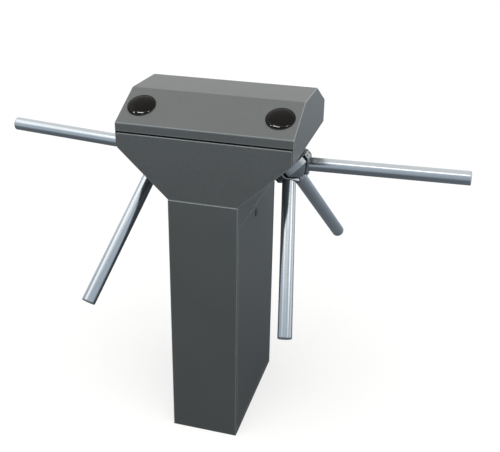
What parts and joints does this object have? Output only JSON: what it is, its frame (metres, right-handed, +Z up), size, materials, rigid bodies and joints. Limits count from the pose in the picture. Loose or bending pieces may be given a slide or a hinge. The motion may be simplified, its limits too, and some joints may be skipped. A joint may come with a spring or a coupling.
{
  "type": "double tripod turnstile",
  "caption": "Waist-high turnstile cabinet for two lanes: a column with a flared head and hinged lid, a tripod barrier on each side and round readers in the lid.",
  "frame": {"origin": "on the floor in the middle of the column's foot", "axes": "+Z up, +X towards the lane on the right, -Y towards the people who see the two round readers"},
  "size_m": [1.3402, 0.681, 1],
  "materials": {
    "satin_paint": "satin gunmetal powder coat on folded steel sheet",
    "polished_steel": "polished stainless steel",
    "cast_alloy": "fine cast and turned aluminium alloy",
    "machined_steel": "machined steel",
    "galvanised_steel": "galvanised steel",
    "black_enamel": "semi-gloss black enamel",
    "black_plastic": "matt moulded plastic",
    "black_gloss_window": "high gloss",
    "circuit_board": "solder mask over glass fibre",
    "brass": "plain brass"
  },
  "bodies": {
    "cabinet": {"base_plate": "galvanised_steel", "column_shell": "satin_paint", "head_case": "satin_paint", "power_supply": "galvanised_steel", "control_board": "circuit_board", "hinge_case_leaf": "machined_steel", "hinge_pin": "machined_steel", "right_bearing_carrier": "cast_alloy", "right_outer_bearing": "machined_steel", "right_inner_bearing": "machined_steel", "right_brake_coil": "black_enamel", "right_motor": "black_enamel", "left_bearing_carrier": "cast_alloy", "left_outer_bearing": "machined_steel", "left_inner_bearing": "machined_steel", "left_brake_coil": "black_enamel", "left_motor": "black_enamel"},
    "lid": {"lid": "satin_paint", "hinge_lid_leaf": "machined_steel", "right_reader_bezel": "machined_steel", "right_reader_window": "black_gloss_window", "right_reader_unit": "black_plastic", "left_reader_bezel": "machined_steel", "left_reader_window": "black_gloss_window", "left_reader_unit": "black_plastic"},
    "service_door": {"service_door": "satin_paint", "door_lock_body": "polished_steel"},
    "door_lock": {"door_lock_plug": "brass", "door_lock_cam": "machined_steel"},
    "right_tripod": {"right_hub": "cast_alloy", "right_hub_cap": "black_plastic", "right_level_arm_root": "cast_alloy", "right_level_arm_tube": "polished_steel", "right_level_arm_end_cap": "polished_steel", "right_front_arm_root": "cast_alloy", "right_front_arm_tube": "polished_steel", "right_front_arm_end_cap": "polished_steel", "right_rear_arm_root": "cast_alloy", "right_rear_arm_tube": "polished_steel", "right_rear_arm_end_cap": "polished_steel", "right_main_axle": "machined_steel", "right_brake_plate": "machined_steel", "right_drive_gear": "machined_steel"},
    "left_tripod": {"left_hub": "cast_alloy", "left_hub_cap": "black_plastic", "left_level_arm_root": "cast_alloy", "left_level_arm_tube": "polished_steel", "left_level_arm_end_cap": "polished_steel", "left_front_arm_root": "cast_alloy", "left_front_arm_tube": "polished_steel", "left_front_arm_end_cap": "polished_steel", "left_rear_arm_root": "cast_alloy", "left_rear_arm_tube": "polished_steel", "left_rear_arm_end_cap": "polished_steel", "left_main_axle": "machined_steel", "left_brake_plate": "machined_steel", "left_drive_gear": "machined_steel"},
    "right_pinion": {"right_motor_pinion": "machined_steel"},
    "left_pinion": {"left_motor_pinion": "machined_steel"}
  },
  "joints": [
    {"name": "right_tripod_turn", "type": "hinge", "parent": "cabinet", "child": "right_tripod", "pos_m": [0.1786, 0, 0.81252], "axis": [0.6862, 0, -0.7274], "continuous": true},
    {"name": "left_tripod_turn", "type": "hinge", "parent": "cabinet", "child": "left_tripod", "pos_m": [-0.1786, 0, 0.81252], "axis": [-0.6862, 0, -0.7274], "continuous": true},
    {"name": "right_pinion_turn", "type": "hinge", "parent": "cabinet", "child": "right_pinion", "pos_m": [0.1786, -0.065, 0.81252], "axis": [0.6862, 0, -0.7274], "continuous": true},
    {"name": "left_pinion_turn", "type": "hinge", "parent": "cabinet", "child": "left_pinion", "pos_m": [-0.1786, 0.065, 0.81252], "axis": [-0.6862, 0, -0.7274], "continuous": true},
    {"name": "lid_open", "type": "hinge", "parent": "cabinet", "child": "lid", "pos_m": [0, 0.2025, 0.90925], "axis": [-1, 0, 0], "range_deg": [0, 85]},
    {"name": "door_tilt", "type": "hinge", "parent": "cabinet", "child": "service_door", "pos_m": [0.0975, 0, 0.0143], "axis": [0, 1, 0], "range_deg": [0, 3.5]},
    {"name": "door_lock_turn", "type": "hinge", "parent": "service_door", "child": "door_lock", "pos_m": [0.0975, -0.015, 0.647], "axis": [-1, 0, 0], "range_deg": [0, 90]}
  ],
  "couplings": [
    {"joint": "right_pinion_turn", "follows": "right_tripod_turn", "ratio": -3},
    {"joint": "left_pinion_turn", "follows": "left_tripod_turn", "ratio": -3}
  ]
}
